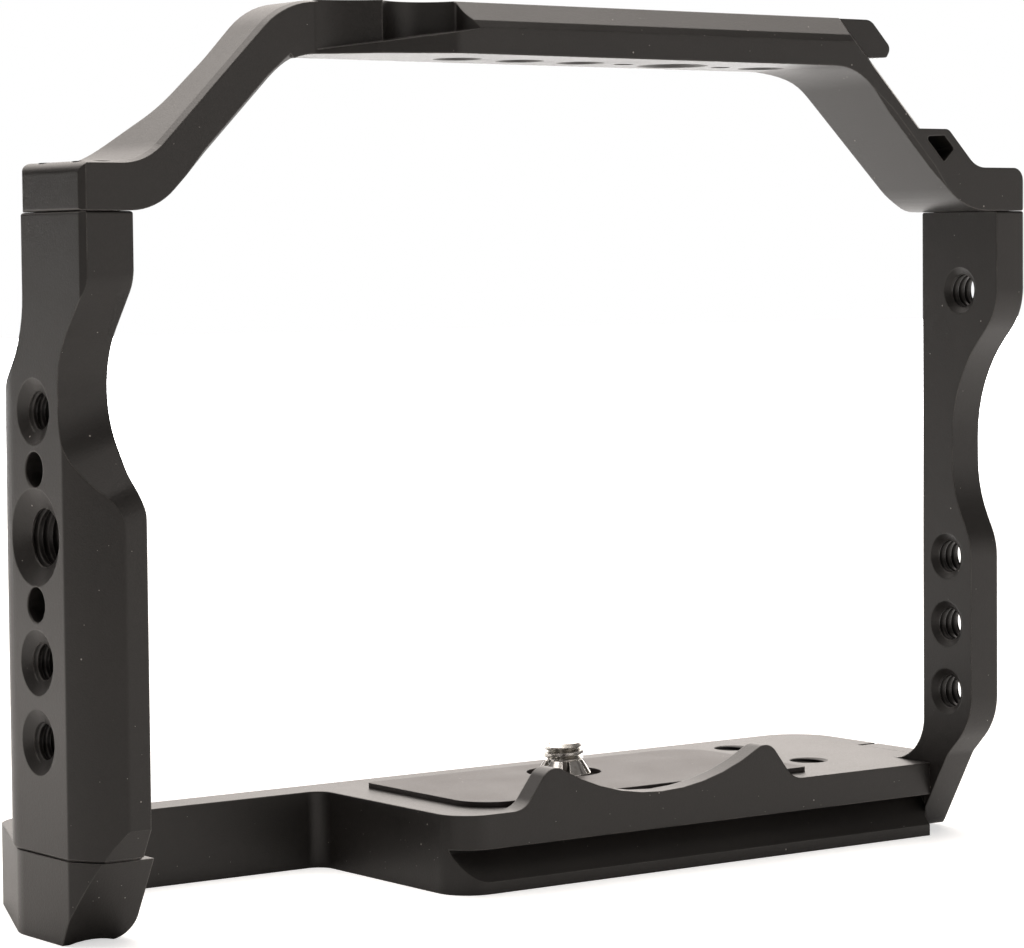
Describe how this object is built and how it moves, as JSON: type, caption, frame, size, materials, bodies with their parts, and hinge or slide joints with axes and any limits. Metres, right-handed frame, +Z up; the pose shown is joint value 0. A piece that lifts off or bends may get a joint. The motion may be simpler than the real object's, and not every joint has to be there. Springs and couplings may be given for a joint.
{
  "type": "camera cage",
  "caption": "Machined rectangular camera cage with tapped accessory holes in its top bar and side posts, a dovetail front, a strap eye and a captive camera screw.",
  "frame": {"origin": "bottom centre of the bounding box, on the floor that the cage stands on", "axes": "+X across the cage from the grip side to the far side, +Y from the lens side to the rear, +Z up"},
  "size_m": [0.1702, 0.06, 0.1326],
  "materials": {
    "anodised_aluminium": "fine bead-blasted black anodising, satin",
    "rubber": "matt brownish black rubber, lightly grained",
    "bright_steel": "bright turned steel",
    "black_steel": "black oxide, low sheen"
  },
  "bodies": {
    "frame": {"top_frame": "anodised_aluminium", "grip_side_post": "anodised_aluminium", "far_side_post": "anodised_aluminium", "base_plate": "anodised_aluminium", "rubber_pad": "rubber", "grip_top_screw_front": "black_steel", "grip_top_screw_rear": "black_steel", "far_top_screw_front": "black_steel", "far_top_screw_rear": "black_steel", "grip_base_screw_front": "black_steel", "grip_base_screw_rear": "black_steel", "far_base_screw_front": "black_steel", "far_base_screw_rear": "black_steel", "grip_top_dowel": "bright_steel", "far_top_dowel": "bright_steel", "grip_base_dowel": "bright_steel", "far_base_dowel": "bright_steel"},
    "clip": {"retaining_clip": "bright_steel"},
    "screw": {"camera_screw": "bright_steel"}
  },
  "joints": [
    {"name": "screw_lift", "type": "slide", "parent": "frame", "child": "clip", "axis": [0, 0, 1], "range_m": [-0.0046, 0.0009]},
    {"name": "screw_turn", "type": "hinge", "parent": "clip", "child": "screw", "pos_m": [0.01925, 0.0118, 0], "axis": [0, 0, 1], "continuous": true}
  ]
}
